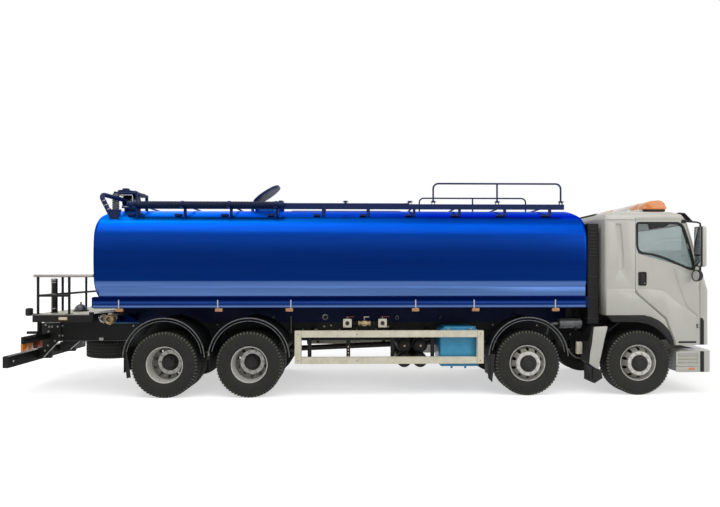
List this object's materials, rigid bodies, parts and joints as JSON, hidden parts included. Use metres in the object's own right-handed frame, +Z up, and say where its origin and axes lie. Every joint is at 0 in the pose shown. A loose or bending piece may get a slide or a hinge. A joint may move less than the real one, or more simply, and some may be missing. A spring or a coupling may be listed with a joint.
{
  "type": "tanker truck",
  "caption": "Rigid water tanker truck with a rounded-rectangular tank, tilting cab, twin steered front axles, folding roof rails and a rear work platform.",
  "frame": {"origin": "middle of the overall length and width, on the ground", "axes": "+X towards the front of the truck, +Z up, so -Y is the truck's right side"},
  "size_m": [11.75, 2.9, 3.6562],
  "materials": {
    "tank_paint": "gloss",
    "cab_paint": "gloss",
    "black_steel": "satin",
    "navy_steel": "satin",
    "wheel_steel": "satin",
    "cast_steel": "rough",
    "tyre": "matte",
    "hose_rubber": "matte",
    "guard_paint": "satin",
    "sky_paint": "gloss",
    "black_plastic": "matte",
    "steel": "satin",
    "lamp_amber": "gloss",
    "lamp_clear": "gloss",
    "glass": "clear",
    "cloth": "matte"
  },
  "bodies": {
    "chassis": {"tank_shell": "tank_paint", "tank_subframe": "tank_paint", "walkway": "navy_steel", "suction_hose": "hose_rubber", "top_pump": "navy_steel", "rear_ladder": "navy_steel", "chassis_frame": "black_steel", "powertrain": "cast_steel", "axles": "cast_steel", "leaf_springs": "black_steel", "mudguards": "black_plastic", "side_guards": "guard_paint", "auxiliary_tank": "sky_paint", "fuel_tank": "steel", "air_reservoirs": "black_steel", "silencer": "steel", "air_intake": "black_plastic", "front_bumper": "cab_paint", "underrun_guard": "black_steel", "spare_wheel": "tyre", "rear_platform": "black_steel", "water_pipework": "guard_paint", "lamps": "lamp_amber"},
    "cab": {"cab_shell": "cab_paint", "windscreen": "glass", "seats": "cloth", "dashboard": "black_plastic", "light_bar": "lamp_clear"},
    "steering_wheel": {"steering_wheel": "black_plastic"},
    "manhole_lid": {"manhole_lid": "navy_steel"},
    "door_right": {"door_right": "cab_paint", "door_glass_right": "glass", "mirror_right": "black_plastic"},
    "guard_rail_front_right": {"guard_rail_front_right": "navy_steel"},
    "guard_rail_rear_right": {"guard_rail_rear_right": "navy_steel"},
    "knuckle_first_right": {"knuckle_first_right": "cast_steel"},
    "wheel_first_right": {"tyre_first_right": "tyre", "rim_first_right": "wheel_steel"},
    "knuckle_second_right": {"knuckle_second_right": "cast_steel"},
    "wheel_second_right": {"tyre_second_right": "tyre", "rim_second_right": "wheel_steel"},
    "wheel_third_right": {"tyres_third_right": "tyre", "rims_third_right": "wheel_steel"},
    "wheel_fourth_right": {"tyres_fourth_right": "tyre", "rims_fourth_right": "wheel_steel"},
    "door_left": {"door_left": "cab_paint", "door_glass_left": "glass", "mirror_left": "black_plastic"},
    "guard_rail_front_left": {"guard_rail_front_left": "navy_steel"},
    "guard_rail_rear_left": {"guard_rail_rear_left": "navy_steel"},
    "knuckle_first_left": {"knuckle_first_left": "cast_steel"},
    "wheel_first_left": {"tyre_first_left": "tyre", "rim_first_left": "wheel_steel"},
    "knuckle_second_left": {"knuckle_second_left": "cast_steel"},
    "wheel_second_left": {"tyre_second_left": "tyre", "rim_second_left": "wheel_steel"},
    "wheel_third_left": {"tyres_third_left": "tyre", "rims_third_left": "wheel_steel"},
    "wheel_fourth_left": {"tyres_fourth_left": "tyre", "rims_fourth_left": "wheel_steel"}
  },
  "joints": [
    {"name": "cab_tilt", "type": "hinge", "parent": "chassis", "child": "cab", "pos_m": [5.715, 0, 0.91], "axis": [0, 1, 0], "range_deg": [0, 60]},
    {"name": "door_right_hinge", "type": "hinge", "parent": "cab", "child": "door_right", "pos_m": [5.499, -1.204, 1.5], "axis": [0, 0, 1], "range_deg": [0, 70]},
    {"name": "door_left_hinge", "type": "hinge", "parent": "cab", "child": "door_left", "pos_m": [5.499, 1.204, 1.5], "axis": [0, 0, -1], "range_deg": [0, 70]},
    {"name": "steering_wheel_turn", "type": "hinge", "parent": "cab", "child": "steering_wheel", "pos_m": [5.125, 0.77, 2.06], "axis": [-0.5736, 0, 0.8192], "range_deg": [-700, 700]},
    {"name": "steer_first_right", "type": "hinge", "parent": "chassis", "child": "knuckle_first_right", "pos_m": [4.525, -0.87, 0.535], "axis": [0, 0, 1], "range_deg": [-35, 35]},
    {"name": "steer_first_left", "type": "hinge", "parent": "chassis", "child": "knuckle_first_left", "pos_m": [4.525, 0.87, 0.535], "axis": [0, 0, 1], "range_deg": [-35, 35]},
    {"name": "steer_second_right", "type": "hinge", "parent": "chassis", "child": "knuckle_second_right", "pos_m": [2.675, -0.87, 0.535], "axis": [0, 0, 1], "range_deg": [-28, 28]},
    {"name": "steer_second_left", "type": "hinge", "parent": "chassis", "child": "knuckle_second_left", "pos_m": [2.675, 0.87, 0.535], "axis": [0, 0, 1], "range_deg": [-28, 28]},
    {"name": "wheel_first_right_spin", "type": "hinge", "parent": "knuckle_first_right", "child": "wheel_first_right", "pos_m": [4.525, -1.03, 0.535], "axis": [0, 1, 0], "continuous": true},
    {"name": "wheel_first_left_spin", "type": "hinge", "parent": "knuckle_first_left", "child": "wheel_first_left", "pos_m": [4.525, 1.03, 0.535], "axis": [0, 1, 0], "continuous": true},
    {"name": "wheel_second_right_spin", "type": "hinge", "parent": "knuckle_second_right", "child": "wheel_second_right", "pos_m": [2.675, -1.03, 0.535], "axis": [0, 1, 0], "continuous": true},
    {"name": "wheel_second_left_spin", "type": "hinge", "parent": "knuckle_second_left", "child": "wheel_second_left", "pos_m": [2.675, 1.03, 0.535], "axis": [0, 1, 0], "continuous": true},
    {"name": "wheel_third_right_spin", "type": "hinge", "parent": "chassis", "child": "wheel_third_right", "pos_m": [-1.9, -0.925, 0.535], "axis": [0, 1, 0], "continuous": true},
    {"name": "wheel_third_left_spin", "type": "hinge", "parent": "chassis", "child": "wheel_third_left", "pos_m": [-1.9, 0.925, 0.535], "axis": [0, 1, 0], "continuous": true},
    {"name": "wheel_fourth_right_spin", "type": "hinge", "parent": "chassis", "child": "wheel_fourth_right", "pos_m": [-3.27, -0.925, 0.535], "axis": [0, 1, 0], "continuous": true},
    {"name": "wheel_fourth_left_spin", "type": "hinge", "parent": "chassis", "child": "wheel_fourth_left", "pos_m": [-3.27, 0.925, 0.535], "axis": [0, 1, 0], "continuous": true},
    {"name": "manhole_lid_hinge", "type": "hinge", "parent": "chassis", "child": "manhole_lid", "pos_m": [-2.075, 0, 3.3], "axis": [0, -1, 0], "range_deg": [-34, 76]},
    {"name": "guard_rail_front_right_hinge", "type": "hinge", "parent": "chassis", "child": "guard_rail_front_right", "pos_m": [2.25, -0.87, 3.24], "axis": [-1, 0, 0], "range_deg": [0, 90]},
    {"name": "guard_rail_rear_right_hinge", "type": "hinge", "parent": "chassis", "child": "guard_rail_rear_right", "pos_m": [-0.34, -0.87, 3.24], "axis": [1, 0, 0], "range_deg": [0, 90]},
    {"name": "guard_rail_front_left_hinge", "type": "hinge", "parent": "chassis", "child": "guard_rail_front_left", "pos_m": [2.25, 0.87, 3.24], "axis": [1, 0, 0], "range_deg": [0, 90]},
    {"name": "guard_rail_rear_left_hinge", "type": "hinge", "parent": "chassis", "child": "guard_rail_rear_left", "pos_m": [-0.34, 0.87, 3.24], "axis": [-1, 0, 0], "range_deg": [0, 90]}
  ],
  "couplings": [
    {"joint": "steer_first_left", "follows": "steer_first_right", "ratio": 1},
    {"joint": "steer_second_right", "follows": "steer_first_right", "ratio": 0.78},
    {"joint": "steer_second_left", "follows": "steer_first_right", "ratio": 0.78},
    {"joint": "steering_wheel_turn", "follows": "steer_first_right", "ratio": 20}
  ]
}
